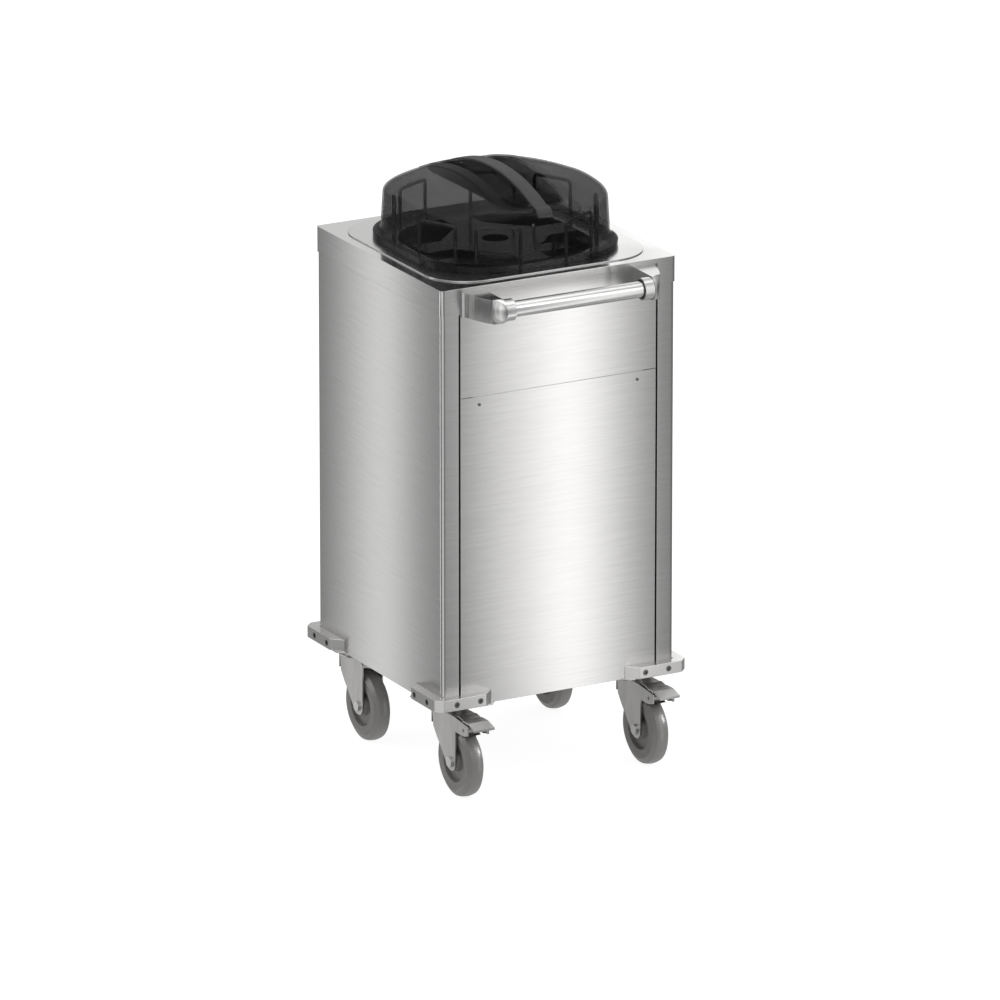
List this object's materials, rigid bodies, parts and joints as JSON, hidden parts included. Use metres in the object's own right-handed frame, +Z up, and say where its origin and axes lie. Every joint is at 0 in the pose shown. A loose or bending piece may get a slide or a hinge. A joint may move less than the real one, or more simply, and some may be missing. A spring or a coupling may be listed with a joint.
{
  "type": "plate dispenser cart",
  "caption": "Square stainless cart with a sprung plate lift under a lift-off smoked hood, a push handle, corner bumpers and swivel casters with foot brakes.",
  "frame": {"origin": "on the floor under the middle of the whole cart's box", "axes": "+X to the right along the handle, +Y to the rear, +Z up; the handle side faces -Y"},
  "size_m": [0.485, 0.5486, 1.0365],
  "materials": {
    "casing_steel": "brushed stainless sheet, grain across",
    "bright_steel": "polished stainless",
    "bumper_metal": "satin",
    "caster_steel": "satin pressed steel",
    "fastener_steel": "dark machined steel",
    "spring_steel": "drawn wire",
    "smoked_plastic": "smoked transparent polycarbonate",
    "grey_tyre": "matt grey rubber",
    "grey_core": "matt grey plastic",
    "black_rubber": "matt",
    "bush_plastic": "natural"
  },
  "bodies": {
    "cart": {"top_cap": "casing_steel", "left_side_panel": "casing_steel", "right_side_panel": "casing_steel", "upper_front_panel": "casing_steel", "lower_front_panel": "casing_steel", "rear_panel": "casing_steel", "base_plate": "casing_steel", "spring_rails": "casing_steel", "top_frame": "bright_steel", "handle_bracket_left": "bright_steel", "handle_bracket_right": "bright_steel", "handle_tube": "bright_steel", "handle_collars": "bright_steel", "guide_rods": "bright_steel", "plate_guides_front_left": "bright_steel", "plate_guides_front_right": "bright_steel", "plate_guides_rear_left": "bright_steel", "plate_guides_rear_right": "bright_steel", "bumper_front_left": "bumper_metal", "bumper_front_right": "bumper_metal", "bumper_rear_left": "bumper_metal", "bumper_rear_right": "bumper_metal", "bumper_screws": "fastener_steel", "panel_screws": "fastener_steel", "handle_bolts": "fastener_steel", "guide_nuts": "fastener_steel", "caster_plate_bolts": "fastener_steel", "springs_left": "spring_steel", "springs_right": "spring_steel", "handle_seal_rings": "black_rubber", "rod_buffers": "black_rubber", "caster_plate_front_left": "caster_steel", "caster_plate_front_right": "caster_steel", "caster_plate_rear_left": "caster_steel", "caster_plate_rear_right": "caster_steel"},
    "lift": {"platform": "casing_steel", "lift_carriage": "casing_steel", "carriage_bushes": "bush_plastic", "platform_screws": "fastener_steel"},
    "hood_body": {"hood": "smoked_plastic"},
    "swivel_front_left": {"fork_front_left": "caster_steel", "axle_front_left": "bright_steel", "brake_pin_left": "fastener_steel"},
    "wheel_front_left": {"wheel_core_front_left": "grey_core", "tyre_front_left": "grey_tyre"},
    "pedal_left": {"brake_pedal_left": "caster_steel"},
    "swivel_front_right": {"fork_front_right": "caster_steel", "axle_front_right": "bright_steel", "brake_pin_right": "fastener_steel"},
    "wheel_front_right": {"wheel_core_front_right": "grey_core", "tyre_front_right": "grey_tyre"},
    "pedal_right": {"brake_pedal_right": "caster_steel"},
    "swivel_rear_left": {"fork_rear_left": "caster_steel", "axle_rear_left": "bright_steel"},
    "wheel_rear_left": {"wheel_core_rear_left": "grey_core", "tyre_rear_left": "grey_tyre"},
    "swivel_rear_right": {"fork_rear_right": "caster_steel", "axle_rear_right": "bright_steel"},
    "wheel_rear_right": {"wheel_core_rear_right": "grey_core", "tyre_rear_right": "grey_tyre"}
  },
  "joints": [
    {"name": "platform_travel", "type": "slide", "parent": "cart", "child": "lift", "axis": [0, 0, -1], "range_m": [0, 0.56], "stiffness_N_per_m": 790, "springref_m": -0.14, "deforming": ["springs_left", "springs_right"]},
    {"name": "hood_lift_off", "type": "slide", "parent": "cart", "child": "hood_body", "axis": [0, 0, 1], "range_m": [0, 0.16]},
    {"name": "swivel_front_left", "type": "hinge", "parent": "cart", "child": "swivel_front_left", "pos_m": [-0.179, -0.13625, 0.159], "axis": [0, 0, 1], "continuous": true},
    {"name": "roll_front_left", "type": "hinge", "parent": "swivel_front_left", "child": "wheel_front_left", "pos_m": [-0.179, -0.17625, 0.0625], "axis": [1, 0, 0], "continuous": true},
    {"name": "brake_left", "type": "hinge", "parent": "swivel_front_left", "child": "pedal_left", "pos_m": [-0.179, -0.22225, 0.1317], "axis": [1, 0, 0], "range_deg": [0, 10]},
    {"name": "swivel_front_right", "type": "hinge", "parent": "cart", "child": "swivel_front_right", "pos_m": [0.179, -0.13625, 0.159], "axis": [0, 0, 1], "continuous": true},
    {"name": "roll_front_right", "type": "hinge", "parent": "swivel_front_right", "child": "wheel_front_right", "pos_m": [0.179, -0.17625, 0.0625], "axis": [1, 0, 0], "continuous": true},
    {"name": "brake_right", "type": "hinge", "parent": "swivel_front_right", "child": "pedal_right", "pos_m": [0.179, -0.22225, 0.1317], "axis": [1, 0, 0], "range_deg": [0, 10]},
    {"name": "swivel_rear_left", "type": "hinge", "parent": "cart", "child": "swivel_rear_left", "pos_m": [-0.179, 0.19975, 0.159], "axis": [0, 0, 1], "continuous": true},
    {"name": "roll_rear_left", "type": "hinge", "parent": "swivel_rear_left", "child": "wheel_rear_left", "pos_m": [-0.179, 0.15975, 0.0625], "axis": [1, 0, 0], "continuous": true},
    {"name": "swivel_rear_right", "type": "hinge", "parent": "cart", "child": "swivel_rear_right", "pos_m": [0.179, 0.19975, 0.159], "axis": [0, 0, 1], "continuous": true},
    {"name": "roll_rear_right", "type": "hinge", "parent": "swivel_rear_right", "child": "wheel_rear_right", "pos_m": [0.179, 0.15975, 0.0625], "axis": [1, 0, 0], "continuous": true}
  ]
}
